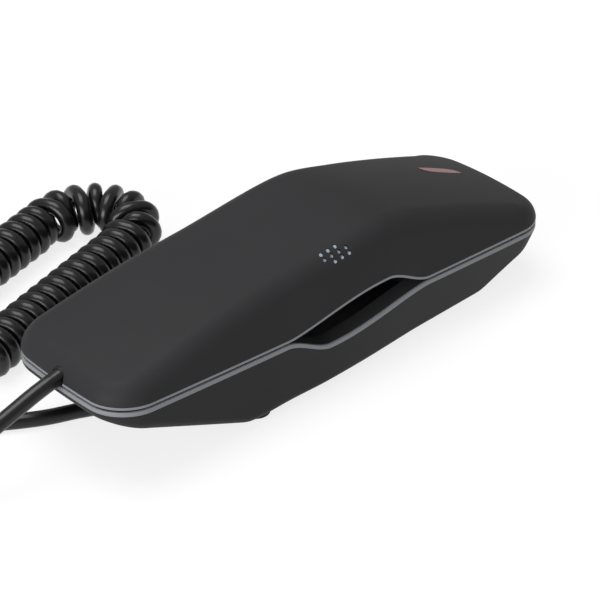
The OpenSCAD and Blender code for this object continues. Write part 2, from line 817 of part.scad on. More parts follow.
// Side view of the cradle's floor: a shelf under each end and the finger well between them
shelf_depth = 2.2;
cradle_wall = 1.6;
cradle_in = 6.2;
well_slope = 10;
well_depth = seam_h - well_z;
well_lo = eye_from - 6;
well_hi = eye_to + 4;
cradle_x = [
    half_len + 1, well_hi + well_slope, well_hi, well_lo, well_lo - well_slope, -half_len - 1
];
cradle_z = [shelf_depth, shelf_depth, well_depth, well_depth, shelf_depth, shelf_depth];
rest_l = 6;
rest_w = 34;
rest_corner = 2;
rest_at = [from_cord(13), from_ear(11)];
tower = [4, 12];
module cradle() color(BLACK) {
    floor_top = [for (i = [0 : 5]) [cradle_x[i], -cradle_z[i]]];
    floor_low = [for (i = [5 : -1 : 0]) [cradle_x[i], -cradle_z[i] - cradle_wall]];
    wall_top = [for (i = [len(slab_x) - 1 : -1 : 0])
        [slab_x[i], -lip_top - eye_drop(slab_x[i])]];
    wall_low = [for (i = [0 : 5]) [cradle_x[i], -cradle_z[i] - cradle_wall]];
    difference() {
        union() {
            at_seam() {
                intersection() {
                    outline_block(cradle_in);
                    side_plate(concat(floor_top, floor_low));
                }
                intersection() {
                    difference() {
                        outline_block(cradle_in);
                        outline_block(cradle_in + cradle_wall);
                    }
                    side_plate(concat(wall_low, wall_top));
                }
                rim_ring(trim_w + slip, cradle_in + cradle_wall, lip_top + lip_t, lip_top);
                rim_ring(base_wall + slip, cradle_in + cradle_wall, rim_depth + slip, lip_top + lip_t / 2);
                for (x = rest_at)
                    translate([x, 0, -shelf_depth - cradle_wall / 2])
                        linear_extrude(shelf_depth + cradle_wall / 2 - fit)
                            polygon(round_rect(rest_l, rest_w, rest_corner));
                hook_tower();
            }
            cradle_posts();
        }
        for (p = screw_at) both_sides(p)
            translate([0, 0, floor_z + pad_h - 1]) cylinder(d = base_pilot_d, h = base_screw_l);
    }
}

module side_plate(points) {
    rotate([90, 0, 0]) linear_extrude(seam_width, center = true) polygon(points);
}

// Posts under the cradle that screws hold down to the shell, cut off inside its floor
cradle_post_d = 7;
module cradle_posts() {
    floor_mid = [for (i = [0 : 5]) [cradle_x[i], -cradle_z[i] - cradle_wall / 2]];
    intersection() {
        for (p = screw_at) both_sides(p)
            translate([0, 0, floor_z + pad_h + seat]) cylinder(d = cradle_post_d, h = seam_h);
        at_seam() side_plate(concat(floor_mid, [[-half_len - 1, -tall], [half_len + 1, -tall]]));
    }
}

// Tower that presses the hook button while the handset lies on the base
module hook_tower() {
    foot = -well_depth - cradle_wall / 2;
    ends = [for (s = [-1 : 0.5 : 1]) hook_x + s * tower[0] / 2];
    top = [for (x = ends) [x, eye_rise(x) + hook_travel - hook_out - slip]];
    rotate([90, 0, 0]) linear_extrude(tower[1], center = true)
        polygon(concat(top, [[hook_x + tower[0] / 2, foot], [hook_x - tower[0] / 2, foot]]));
}

module base_feet() color("#1c1c1d")
    for (p = foot_at) both_sides(p) cylinder(d = foot_d, h = under_z + foot_inset - seat);

module base_screws() color(STEEL)
    for (p = screw_at) both_sides(p) {
        translate([0, 0, under_z]) cylinder(d = base_head_d, h = base_head_h - seat);
        translate([0, 0, under_z])
            cylinder(d = base_pilot_d - thread_slip, h = base_head_h + base_screw_l);
    }

ballast_size = [52, 28, 3.6];
ballast_x = 9;
ballast_corner = 3;
module ballast() color(STEEL)
    translate([ballast_x, 0, floor_z + slip]) linear_extrude(ballast_size[2])
        polygon(round_rect(ballast_size[0], ballast_size[1], ballast_corner));

module base_board() color(BOARD)
    translate([
        pocket_to + pocket_wall + board_off, jack_bay[0] - jack_w / 2 - board_off, jack_z + jack_h + seat
    ])
        cube(board_size);

module line_jack() color("#d8d8d4")
    translate([jack_x, jack_bay[0] - jack_w / 2, jack_z]) difference() {
        cube([jack_l, jack_w, jack_h]);
        translate([-1, (jack_w - jack_open[0]) / 2, jack_lip])
            cube([jack_deep + 1, jack_open[0], jack_open[1]]);
    }

module base_gland() color("#1c1c1d")
    translate([pocket_to - base_gland_out, gland_bay[0], lead_z]) rotate([0, 90, 0]) {
        cylinder(d = base_gland_d, h = base_gland_l);
        translate([0, 0, base_gland_out + pocket_wall + slip])
            cylinder(d = base_gland_lip, h = base_gland_l - base_gland_out - pocket_wall - slip);
    }

// Cord: two plain leads and the curls between them
curl_r = (curl_od - cord_d) / 2;
curl_rings = 8;
curl_sides = 6;
lead_sides = 10;
strand_turn = 17;
bend_mid = [18.5, 100.1];
bend_r = [16.4, 20.4];
bend_pitch = [7.6, 7.2];
bend_dodge = 2.6;
near_strand = 104;
strand_along = [cos(strand_turn), sin(strand_turn)];
strand_out = [-sin(strand_turn), cos(strand_turn)];

// Point of the curls' axis at distance s: the near strand, a turn of two radii, the far strand
quarter_len = [for (r = bend_r) r * PI / 2];
function on_plan(along, out) = strand_along * along + strand_out * out;
function axis_point(s) =
    let (a = s - near_strand, b = a - quarter_len[0], c = b - quarter_len[1])
    a < 0 ? on_plan(bend_mid[0] + a, bend_mid[1] - bend_r[0]) :
    b < 0 ? on_plan(
        bend_mid[0] + bend_r[0] * sin(a / bend_r[0] * 180 / PI),
        bend_mid[1] - bend_r[0] * cos(a / bend_r[0] * 180 / PI)
    ) :
    c < 0 ? on_plan(
        bend_mid[0] + bend_r[0] - bend_r[1] + bend_r[1] * cos(b / bend_r[1] * 180 / PI),
        bend_mid[1] + bend_r[1] * sin(b / bend_r[1] * 180 / PI)
    ) :
    on_plan(bend_mid[0] + bend_r[0] - bend_r[1] - c, bend_mid[1] + bend_r[1]);
function axis_way(s) =
    let (p = axis_point(s + 0.1) - axis_point(s - 0.1)) p / norm(p);
pitch_ease = 7;
function eased(s, from, to) =
    max(0, min(1, min((s - from) / pitch_ease + 1, (to - s) / pitch_ease + 1)));
function pitch_at(s) =
    let (b = near_strand + quarter_len[0], c = b + quarter_len[1])
    max(
        curl_pitch + (bend_pitch[0] - curl_pitch) * eased(s, near_strand, b),
        curl_pitch + (bend_pitch[1] - curl_pitch) * eased(s, b, c)
    );

// Steps of the curls as [turn, advance]: the cord leaves its straight end, curls, and straightens again
easing = [[0, cord_d], [9, 2.6], [36, 2.2], [45, 1.5]];
full_steps = (curl_count - 0.5) * curl_rings;
function curl_step(i) =
    let (e = len(easing))
    i < e ? easing[i] :
    i < e + full_steps ? [360 / curl_rings, 0] :
    easing[2 * e + full_steps - 1 - i];
step_n = 2 * len(easing) + full_steps;
curl_path = [
    for (
        i = 0, s = 0, turn = 0;
        i <= step_n;
        step = curl_step(min(i, step_n - 1)),
        s = s + (step[1] > 0 ? step[1] : pitch_at(s) / curl_rings),
        turn = turn + step[0],
        i = i + 1
    )
    [s, turn]
];
function curl_out(q) =
    let (way = axis_way(q[0]), a = q[1] - 90)
    [-way[1] * cos(a), way[0] * cos(a), sin(a)];

// Inside the bend every second curl reaches further in and the others less far, so that they stay clear
bend_end = near_strand + quarter_len[0] + quarter_len[1];
function dodge(q) =
    let (a = q[1] - 90) bend_dodge * eased(q[0], near_strand, bend_end) * max(0, cos(a)) * cos(a / 2);
function curl_point(q) =
    let (p = axis_point(q[0])) [p[0], p[1], curl_od / 2 + seat] + (curl_r + dodge(q)) * curl_out(q);
curl_points = [for (q = curl_path) curl_point(q)];
curl_gap = min([
    for (i = [0 : len(curl_points) - 1], j = [i + 5 : 1 : min(i + 20, len(curl_points) - 1)])
        norm(curl_points[j] - curl_points[i])
]) - cord_d;
echo(str("Least gap between curls: ", curl_gap, " mm"));

// Tube of n sides round the points, with outs[i] the side from which its corners are counted
function tube_points(points, outs, n, d) = [
    for (i = [0 : len(points) - 1])
        let (
            last = len(points) - 1,
            way = points[min(i + 1, last)] - points[max(i - 1, 0)],
            t = way / norm(way),
            side = outs[i] - t * (outs[i] * t),
            u = side / norm(side),
            v = cross(t, u)
        )
        for (k = [0 : n - 1])
            points[i] + d / 2 * (u * cos(360 * k / n) + v * sin(360 * k / n))
];
function tube_faces(rows, n) = concat(
    [for (j = [0 : rows - 2], k = [0 : n - 1])
        let (a = j * n + k, b = j * n + (k + 1) % n) [a, a + n, b]],
    [for (j = [0 : rows - 2], k = [0 : n - 1])
        let (a = j * n + k, b = j * n + (k + 1) % n) [b, a + n, b + n]],
    [for (k = [1 : n - 2]) [0, k, k + 1]],
    [for (k = [1 : n - 2]) let (base = (rows - 1) * n) [base, base + k + 1, base + k]]
);

module cord_coil() color(BLACK)
    polyhedron(
        tube_points(curl_points, [for (q = curl_path) curl_out(q)], curl_sides, cord_d),
        tube_faces(len(curl_points), curl_sides)
    );

// Leads: each runs from its gland to the curls, with hand-chosen points tied to the nearer end
lead_floor = cord_d / 2 + seat;
exit_out = gland_from - seat;
function exit_point(out) = seam_point([
    -half_len + (exit_out - out) * cos(exit_dip), 0, exit_z + (exit_out - out) * sin(exit_dip)
]);
function seam_point(p) = [
    p[0] * cos(seam_tilt) + p[2] * sin(seam_tilt), p[1], table_z(p[0], p[2])
];
coil_start = curl_points[0];
coil_end = curl_points[len(curl_points) - 1];
start_way = concat(axis_way(0), 0);
end_way = concat(axis_way(curl_path[len(curl_path) - 1][0]), 0);
function tied(end, offsets) =
    [for (p = offsets) [end[0] + p[0], end[1] + p[1], max(lead_floor, end[2] + p[2])]];
handset_route = concat(
    [for (out = [0, 3, 6]) exit_point(out)],
    tied(exit_point(0), [
        [-11.8, 0.3, -3], [-21.4, 0.9, -6.6], [-30, 1.8, -10], [-38, 4, -13.8],
        [-44.6, 8.4, -18.2], [-49.6, 15, -23], [-52.9, 23.5, -27.4], [-54.9, 33, -30.6]
    ]),
    tied(coil_end, [[-27, -43.3, 0], [-27, -33.3, 0], [-25.4, -23.3, 0], [-22, -14.3, 0], [-17, -7.3, 0]]),
    [for (out = [12, 6, 0]) coil_end + end_way * out]
);
gland_face = [pocket_to - base_gland_out - seat, gland_bay[0], lead_z];
base_route = concat(
    [for (out = [0, 3, 6]) gland_face - [out, 0, 0]],
    tied(gland_face, [
        [-11, 2, -2.7], [-16, 5.6, -4.5], [-22.5, 11, -6.2], [-30.5, 16.6, -lead_z], [-41.3, 21.2, -lead_z]
    ]),
    tied(coil_start, [
        [5.2, -29.2, 0], [-2.4, -24.2, 0], [-9, -19.8, 0],
        [-12.6, -15.6, 0], [-13.4, -10.1, 0], [-11.2, -5.1, 0]
    ]),
    [for (out = [6.6, 3, 0]) coil_start - start_way * out]
);

module lead(route) {
    polyhedron(
        tube_points(route, [for (p = route) [0, 0, 1]], lead_sides, cord_d),
        tube_faces(len(route), lead_sides)
    );
}

module cord_handset_lead() color(BLACK) lead(handset_route);

module cord_base_lead() color(BLACK) lead(base_route);

base_shell();
base_trim();
cradle();
base_feet();
base_screws();
ballast();
base_board();
line_jack();
base_gland();
handset_shell();
handset_face();
handset_screws();
handset_gland();
earpiece();
earpiece_gasket();
microphone();
keypad_mat();
keypad_board();
switch_board();
volume_switch();
hook_switch();
ringer();
ringer_cloth();
lamp_lens();
lamp_led();
key(0, 0);  // key_1
key(0, 1);  // key_2
key(0, 2);  // key_3
key(1, 0);  // key_4
key(1, 1);  // key_5
key(1, 2);  // key_6
key(2, 0);  // key_7
key(2, 1);  // key_8
key(2, 2);  // key_9
key(3, 0);  // key_star
key(3, 1);  // key_0
key(3, 2);  // key_hash
key(4, 0);  // key_hold
key(4, 1);  // key_flash
key(4, 2);  // key_redial
volume_key();
hook_plunger();
cord_handset_lead();
cord_coil();
cord_base_lead();
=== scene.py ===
"""Corded hotel telephone: looks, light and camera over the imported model.

Lengths are in millimetres, about the tilted seam or on the table, until they are placed in metres.
"""
import json
from math import atan, cos, pi, radians, sin, tan

import bpy
import numpy as np
from mathutils import Matrix, Vector


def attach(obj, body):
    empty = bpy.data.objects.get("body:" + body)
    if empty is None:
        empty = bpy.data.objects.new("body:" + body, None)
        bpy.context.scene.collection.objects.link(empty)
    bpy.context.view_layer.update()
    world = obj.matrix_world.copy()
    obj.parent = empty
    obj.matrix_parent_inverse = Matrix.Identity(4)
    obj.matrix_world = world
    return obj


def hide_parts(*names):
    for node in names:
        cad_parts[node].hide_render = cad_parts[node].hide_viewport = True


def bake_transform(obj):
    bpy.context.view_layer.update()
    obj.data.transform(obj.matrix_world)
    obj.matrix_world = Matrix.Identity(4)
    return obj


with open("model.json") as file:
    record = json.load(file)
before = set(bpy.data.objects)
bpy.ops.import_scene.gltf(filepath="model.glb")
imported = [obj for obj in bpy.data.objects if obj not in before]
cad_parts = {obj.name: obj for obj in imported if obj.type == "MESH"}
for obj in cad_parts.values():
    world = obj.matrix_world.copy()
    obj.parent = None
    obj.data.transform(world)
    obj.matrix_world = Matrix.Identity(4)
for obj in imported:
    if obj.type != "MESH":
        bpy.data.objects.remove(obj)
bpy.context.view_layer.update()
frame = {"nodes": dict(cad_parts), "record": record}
nodes = frame["nodes"]
MM = 0.001

# Clearances
SEAT = 0.05
FIT = 0.3
SLIP = 0.15


# Places
def at(x, y, z):
    return Matrix.Translation((x, y, z))


def turned(angle, axis):
    return Matrix.Rotation(angle, 4, axis)


# Seam: the plane between handset and base, lower at the ear end
HALF_LEN = 103
HALF_WIDTH = 32.7
SEAM_H = 28.4
SEAM_TILT = radians(2.5)
TABLE = Matrix.Scale(MM, 4)
SEAM = TABLE @ at(0, 0, SEAM_H) @ turned(SEAM_TILT, "Y")


def placed(points, place=SEAM):
    """Points in millimetres as an array in the row frame, in metres."""
    m = np.array(place)
    return np.asarray(points, float) @ m[:3, :3].T + m[:3, 3]


def add_object(name, data):
    obj = bpy.data.objects.new(name, data)
    bpy.context.scene.collection.objects.link(obj)
    return obj


# Camera: a long lens, fitted to the photograph
LENS_MM = 156
SENSOR_MM = 36
CLIP_END_M = 20
CAMERA_FAR = 929
CAMERA_TURN = radians(-41)
CAMERA_RISE = radians(30.9)
CAMERA_SHIFT = (0.01833, -0.035)


def make_camera():
    level = cos(CAMERA_RISE)
    back = Vector((sin(CAMERA_TURN) * level, -cos(CAMERA_TURN) * level, sin(CAMERA_RISE)))
    right = Vector((cos(CAMERA_TURN), sin(CAMERA_TURN), 0))
    look = Matrix((right, back.cross(right), back)).transposed().to_4x4()
    data = bpy.data.cameras.new("camera")
    data.lens = LENS_MM
    data.sensor_width = SENSOR_MM
    data.shift_x, data.shift_y = CAMERA_SHIFT
    data.clip_end = CLIP_END_M
    camera = add_object("camera", data)
    aim = at(0, 0, SEAM_H * MM) @ turned(SEAM_TILT, "Y")
    camera.matrix_world = aim @ Matrix.Translation(back * CAMERA_FAR * MM) @ look
    bpy.context.scene.camera = camera


make_camera()


# Meshes
CAP_RIM = 0.02


def add_mesh(name, points, faces, smooth=True):
    data = bpy.data.meshes.new(name)
    data.from_pydata([tuple(p) for p in points], [], [tuple(f) for f in faces])
    data.validate()
    data.polygons.foreach_set("use_smooth", [smooth] * len(data.polygons))
    return add_object(name, data)


def tube(name, points, outs, radius, sides):
    """A closed round tube along points in metres, with each ring counted from its own out direction.

    A second ring close to each end keeps the cap out of the side's shading.
    """
    ways = np.gradient(points, axis=0)
    ways /= np.linalg.norm(ways, axis=1)[:, None]
    order = [0, *range(len(points)), len(points) - 1]
    points, ways, outs = points[order], ways[order], np.asarray(outs)[order]
    points[1] += ways[0] * CAP_RIM * MM
    points[-2] -= ways[-1] * CAP_RIM * MM
    rings = []
    for p, way, out in zip(points, ways, outs):
        side = out - way * way.dot(out)
        side = side / np.linalg.norm(side)
        up = np.cross(way, side)
        rings += [
            p + radius * (side * cos(2 * pi * k / sides) + up * sin(2 * pi * k / sides))
            for k in range(sides)
        ]
    last = (len(points) - 1) * sides
    caps = [tuple(range(sides - 1, -1, -1)), tuple(range(last, last + sides))]
    wall = [
        (j + k, j + (k + 1) % sides, j + sides + (k + 1) % sides, j + sides + k)
        for j in range(0, last, sides)
        for k in range(sides)
    ]
    return add_mesh(name, rings, caps + wall)


def smooth_path(points, steps):
    """Points on a rounded curve through the given points."""
    p = [Vector(q) for q in points]
    p = [2 * p[0] - p[1]] + p + [2 * p[-1] - p[-2]]
    curve = []
    for a, b, c, d in zip(p, p[1:], p[2:], p[3:]):
        for i in range(steps):
            t = i / steps
            curve.append(0.5 * (
                2 * b + (c - a) * t + (2 * a - 5 * b + 4 * c - d) * t ** 2
                + (3 * b - a - 3 * c + d) * t ** 3
            ))
    return curve + [p[-2]]


# Curls of the cord: a near strand, a bend of two quarter turns, and a far strand
CORD_D = 5.7
CURL_OD = 19
CURL_R = (CURL_OD - CORD_D) / 2
CURL_PITCH = 6.3
CURL_COUNT = 39
CURL_RINGS = 8
CURL_FINE = 3
STRAND_TURN = radians(17)
NEAR_STRAND = 104
AXIS_STEP = 0.1
BEND_MID = (18.5, 100.1)
BEND_R = (16.4, 20.4)
BEND_PITCH = (7.6, 7.2)
BEND_DODGE = 2.6
QUARTER = [r * pi / 2 for r in BEND_R]
BEND_HALF = NEAR_STRAND + QUARTER[0]
BEND_END = BEND_HALF + QUARTER[1]
PITCH_EASE = 7

# First steps out of each plain end: degrees of turn, and the way along the axis
EASING = [(0, CORD_D), (9, 2.6), (36, 2.2), (45, 1.5)]
EASED_TURNS = 2 * sum(bend for bend, advance in EASING) / 360


def on_plan(along, out):
    c, s = cos(STRAND_TURN), sin(STRAND_TURN)
    return np.array((c * along - s * out, s * along + c * out))


def axis_point(s):
    """Point of the curls' axis at distance s."""
    x, y = BEND_MID
    r, q = BEND_R
    a, b = s - NEAR_STRAND, s - BEND_HALF
    if s < NEAR_STRAND:
        return on_plan(x + a, y - r)
    if s < BEND_HALF:
        return on_plan(x + r * sin(a / r), y - r * cos(a / r))
    if s < BEND_END:
        return on_plan(x + r - q + q * cos(b / q), y + q * sin(b / q))
    return on_plan(x + r - q - (s - BEND_END), y + q)


def axis_way(s):
    way = axis_point(s + AXIS_STEP) - axis_point(s - AXIS_STEP)
    return way / np.linalg.norm(way)


def eased(s, start, end):
    """1 between start and end, falling to 0 over a short stretch before and after."""
    return max(0, min(1, (s - start) / PITCH_EASE + 1, (end - s) / PITCH_EASE + 1))


def pitch_at(s):
    return max(
        CURL_PITCH + (BEND_PITCH[0] - CURL_PITCH) * eased(s, NEAR_STRAND, BEND_HALF),
        CURL_PITCH + (BEND_PITCH[1] - CURL_PITCH) * eased(s, BEND_HALF, BEND_END),
    )


def curl_point(s, degrees):
    """Point of the curls, and the direction in which it lies from their axis."""
    way = axis_way(s)
    a = radians(degrees - 90)
    inside = eased(s, NEAR_STRAND, BEND_END) * max(0, cos(a))
    out = np.array((-way[1] * cos(a), way[0] * cos(a), sin(a)))
    middle = np.append(axis_point(s), CURL_OD / 2 + SEAT)
    return middle + out * (CURL_R + BEND_DODGE * inside * cos(a / 2)), out


def curl_points():
    """Points of the whole curly stretch with their out directions, and the axis at both ends."""
    full = int((CURL_COUNT - EASED_TURNS) * CURL_RINGS)
    steps = EASING + [(360 / CURL_RINGS, None)] * full + EASING[::-1]
    s = degrees = 0
    found = [curl_point(s, degrees)]
    for bend, advance in steps:
        advance = advance or pitch_at(s) / CURL_RINGS
        for i in range(1, CURL_FINE + 1):
            found.append(curl_point(s + advance * i / CURL_FINE, degrees + bend * i / CURL_FINE))
        s += advance
        degrees += bend
    points, outs = zip(*found)
    return points, outs, np.append(axis_way(0), 0), np.append(axis_way(s), 0)


# Plain ends of the cord: from the handset's end, and from the recess under the base
EXIT_Z = 1.8
EXIT_DIP = radians(14)
GLAND_FROM = 1.5
POCKET_TO = -48
BASE_GLAND_OUT = 3.4
LEAD_Z = 10.15
LEAD_FLOOR = CORD_D / 2 + SEAT
LEAD_STEPS = 5
STRAIGHT_OUT = (0, 3, 6)
HANDSET_RUN_IN = (12, 6, 0)
BASE_RUN_IN = (6.6, 3, 0)
CORD_SIDES = 14


def exit_point(out):
    along = GLAND_FROM - SEAT - out
    seam_point = (-HALF_LEN + along * cos(EXIT_DIP), 0, EXIT_Z + along * sin(EXIT_DIP))
    return tuple(placed([seam_point])[0] / MM)


def tied(end, offsets):
    """Points at the given offsets from one end of a lead, and no lower than the table."""
    return [(end[0] + x, end[1] + y, max(LEAD_FLOOR, end[2] + z)) for x, y, z in offsets]


curls, curl_outs, start_way, end_way = curl_points()
coil_start, coil_end = curls[0], curls[-1]
handset_route = [exit_point(out) for out in STRAIGHT_OUT] + tied(exit_point(0), [
    (-11.8, 0.3, -3), (-21.4, 0.9, -6.6), (-30, 1.8, -10), (-38, 4, -13.8),
    (-44.6, 8.4, -18.2), (-49.6, 15, -23), (-52.9, 23.5, -27.4), (-54.9, 33, -30.6),
])
handset_route += tied(coil_end, [
    (-27, -43.3, 0), (-27, -33.3, 0), (-25.4, -23.3, 0), (-22, -14.3, 0), (-17, -7.3, 0),
])
handset_route += [tuple(coil_end + end_way * out) for out in HANDSET_RUN_IN]
gland_face = (POCKET_TO - BASE_GLAND_OUT - SEAT, 0, LEAD_Z)
base_route = [(gland_face[0] - out, 0, LEAD_Z) for out in STRAIGHT_OUT] + tied(gland_face, [
    (-11, 2, -2.7), (-16, 5.6, -4.5), (-22.5, 11, -6.2), (-30.5, 16.6, -LEAD_Z), (-41.3, 21.2, -LEAD_Z),
])
base_route += tied(coil_start, [
    (5.2, -29.2, 0), (-2.4, -24.2, 0), (-9, -19.8, 0),
    (-12.6, -15.6, 0), (-13.4, -10.1, 0), (-11.2, -5.1, 0),
])
base_route += [tuple(coil_start - start_way * out) for out in BASE_RUN_IN]


def add_cord(name, route, outs):
    points = placed(route, TABLE)
    points[:, 2] = np.maximum(points[:, 2], LEAD_FLOOR * MM)
    piece = tube(name, points, outs, CORD_D / 2 * MM, CORD_SIDES)
    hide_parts(name.replace("_skin", ""))
    return piece


def add_lead(name, route):
    path = smooth_path(route, LEAD_STEPS)
    return add_cord(name, path, [np.array((0, 0, 1))] * len(path))


handset_lead = add_lead("cord_handset_lead_skin", handset_route)
coil = add_cord("cord_coil_skin", curls[::-1], curl_outs[::-1])
base_lead = add_lead("cord_base_lead_skin", base_route)
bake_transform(handset_lead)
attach(coil, "base")
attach(base_lead, "base")


# Outline of the seam: stations of its +Y half, each with its stretch and its place on that stretch
CORNER_R = 14.6
LEAST_CORNER = 2
END_BOW = 1.7
SIDE_TAPER = 0.034
SIDE_END = HALF_LEN - CORNER_R
END_STEPS = 10
CORNER_STEPS = 18
SIDE_STEPS = 150
EAR_END, EAR_CORNER, SIDE, CORD_CORNER, CORD_END = range(5)


def make_stations():
    end = [k / END_STEPS for k in range(END_STEPS)]
    corner = np.linspace(0, pi / 2, CORNER_STEPS + 1)
    side = np.linspace(SIDE_END, -SIDE_END, SIDE_STEPS + 1)[1:-1]
    stretches = (
        (EAR_END, end), (EAR_CORNER, corner), (SIDE, side),
        (CORD_CORNER, corner + pi / 2), (CORD_END, end[::-1]),
    )
    kinds = [kind for kind, along in stretches for place in along]
    return np.array(kinds), np.concatenate([along for kind, along in stretches])


station_kind, station_at = make_stations()


def half_outline(d):
    """x and y of the stations, drawn in by d, which is one number or one for each station."""
    a = HALF_LEN - d
    b = HALF_WIDTH - d
    r = np.maximum(CORNER_R - d, LEAST_CORNER)
    end_y = (b - r) * station_at
    bent_x, bent_y = r * np.cos(station_at), b - r + r * np.sin(station_at)
    x = np.choose(station_kind, [a, a - r + bent_x, station_at * (a - r) / SIDE_END, r - a + bent_x, -a])
    y = np.choose(station_kind, [end_y, bent_y, b, bent_y, end_y])
    quarter = HALF_LEN / 2
    reach = np.clip((np.abs(x) - quarter) / quarter, 0, 1)
    bow = END_BOW * (y / HALF_WIDTH) ** 2 * reach
    return x - np.sign(x) * bow, y * (1 - SIDE_TAPER * (x / HALF_LEN) ** 2)


# Finger opening: rise of the handset's edge, and the mirrored drop of the base's edge
EYE_X = 5
EYE_HALF = 33
EYE_H = 7.3
EYE_SKEW = 14
EYE_POWER = 1.4
EYE_EASE = 0.7


def eye_rise(x):
    s = np.asarray(x, float) - EYE_X
    t = np.clip((EYE_HALF - s) / (EYE_HALF - EYE_SKEW), 0, 1)
    swell = np.clip((s + EYE_HALF) / (EYE_SKEW + EYE_HALF), 0, 1)
    near = EYE_H * np.sin(pi / 2 * swell) ** EYE_POWER
    far = EYE_H * (EYE_EASE * t * t * (3 - 2 * t) + (1 - EYE_EASE) * t)
    return np.where(s <= EYE_SKEW, near, far)


def eye_drop(x):
    return eye_rise(2 * EYE_X - np.asarray(x, float))


# Back of the handset above the seam
RIDGE_X = 20.2
RIDGE_Z = 28.1
RIDGE_SOFT = 2.2
NEAR_FALL = 17.4
NEAR_FROM = -35
NEAR_SAG = 5.3
EAR_FALL = 19.9
EAR_FROM = 30
EAR_SAG = 4.5
BACK_CROWN = 1.6
BACK_HALF = 25
NEAR_SLOPE = NEAR_FALL / (HALF_LEN + RIDGE_X)
NEAR_DROOP = NEAR_SAG / (HALF_LEN + NEAR_FROM) ** 2
EAR_SLOPE = EAR_FALL / (HALF_LEN - RIDGE_X)
EAR_DROOP = EAR_SAG / (HALF_LEN - EAR_FROM) ** 2


def back_z(x, y):
    near = RIDGE_Z - NEAR_SLOPE * (RIDGE_X - x)
    ear = RIDGE_Z - EAR_SLOPE * (x - RIDGE_X)
    ridge = -RIDGE_SOFT * np.log(np.exp(-near / RIDGE_SOFT) + np.exp(-ear / RIDGE_SOFT))
    droop = EAR_DROOP * np.maximum(0, x - EAR_FROM) ** 2 + NEAR_DROOP * np.maximum(0, NEAR_FROM - x) ** 2
    return ridge - droop + BACK_CROWN * (1 - (y / BACK_HALF) ** 2)


# Underside of the base, as a depth below the seam
UNDER_Z = 2
UNDER_SOFT = 1.2
RISE_NEAR = -43.4
RISE_FAR = 72.3
NEAR_DEEP = 4.7
FAR_DEEP = 4.6
END_DROP = HALF_LEN * tan(SEAM_TILT)
UNDER_NEAR = (SEAM_H + END_DROP - NEAR_DEEP - UNDER_Z) / (HALF_LEN + RISE_NEAR)
UNDER_FAR = (SEAM_H - END_DROP - FAR_DEEP - UNDER_Z) / (HALF_LEN - RISE_FAR)


def eased_ramp(a):
    soft = (np.clip(a, -UNDER_SOFT, UNDER_SOFT) + UNDER_SOFT) ** 2 / (4 * UNDER_SOFT)
    return np.where(a > UNDER_SOFT, a, soft)


def under_depth(x, y):
    rise = eased_ramp(UNDER_NEAR * (RISE_NEAR - x)) + eased_ramp(UNDER_FAR * (x - RISE_FAR))
    return (SEAM_H - UNDER_Z - rise) / cos(SEAM_TILT) - x * tan(SEAM_TILT)


# A pillow-shaped wall: from the rim up the leaning side, round the fillet and over the top
LOOK_IN = 8
LOOK_STEP = 4
WALL_SHARE = 0.9
SPINE_REACH = 0.9
WALL_ROWS = 3
ARC_ROWS = 14
TOP_ROWS = 12


def over_top(x, y, height, rows):
    """Rows from an edge inwards to the spine, at the given height of x, y and the share of the way."""
    spine = np.clip(x, -SIDE_END, SIDE_END) * SPINE_REACH
    result = []
    for m in range(1, rows + 1):
        f = SPINE_REACH * m / rows
        px, py = x + (spine - x) * f, y * (1 - f)
        result.append(np.stack((px, py, height(px, py, f)), axis=1))
    return result


def pillow(inset, rim, top, slant, fillet):
    """Rows of the wall that lies by the inset inside the outline and below the given top."""
    x, y = half_outline(inset)
    z0, lean = rim(x), slant(x)
    z_near = top(*half_outline(LOOK_IN)) - inset
    rise = (top(*half_outline(LOOK_IN + LOOK_STEP)) - inset - z_near) / LOOK_STEP
    steep = 1 / np.tan(lean)
    d_corner = (z_near - rise * LOOK_IN - z0 + steep * inset) / (steep - rise)
    z_corner = z0 + (d_corner - inset) * steep
    up, flat = pi / 2 - lean, np.arctan(rise)
    bend = np.tan((up - flat) / 2)
    bow = np.minimum(fillet, WALL_SHARE * (d_corner - inset) / np.sin(lean) / bend)
    d_mid = d_corner - bow * bend * np.cos(up) + bow * np.sin(up)
    z_mid = z_corner - bow * bend * np.sin(up) - bow * np.cos(up)
    first_d, first_z = d_mid - bow * np.sin(up), z_mid + bow * np.cos(up)
    rows = []
    for k in range(WALL_ROWS):
        f = k / WALL_ROWS
        x, y = half_outline(inset + (first_d - inset) * f)
        rows.append(np.stack((x, y, z0 + (first_z - z0) * f), axis=1))
    for k in range(ARC_ROWS + 1):
        a = up + (flat - up) * k / ARC_ROWS
        x, y = half_outline(d_mid - bow * np.sin(a))
        rows.append(np.stack((x, y, z_mid + bow * np.cos(a)), axis=1))
    lift = rows[-1][:, 2] - (top(x, y) - inset)
    return rows + over_top(x, y, lambda px, py, f: top(px, py) - inset + lift * (1 - f), TOP_ROWS)


def hollow(wall, rim, top, slant, fillet):
    """Rows of a hollow pillow, from the middle of its outside over the rim to the middle of its inside."""
    outside = pillow(0, rim, top, slant, fillet)
    inside = pillow(wall, rim, top, slant, fillet - wall / 2)
    return outside[::-1] + inside


def rim_row(d, z):
    x, y = half_outline(d)
    return np.stack((x, y, z(x)), axis=1)


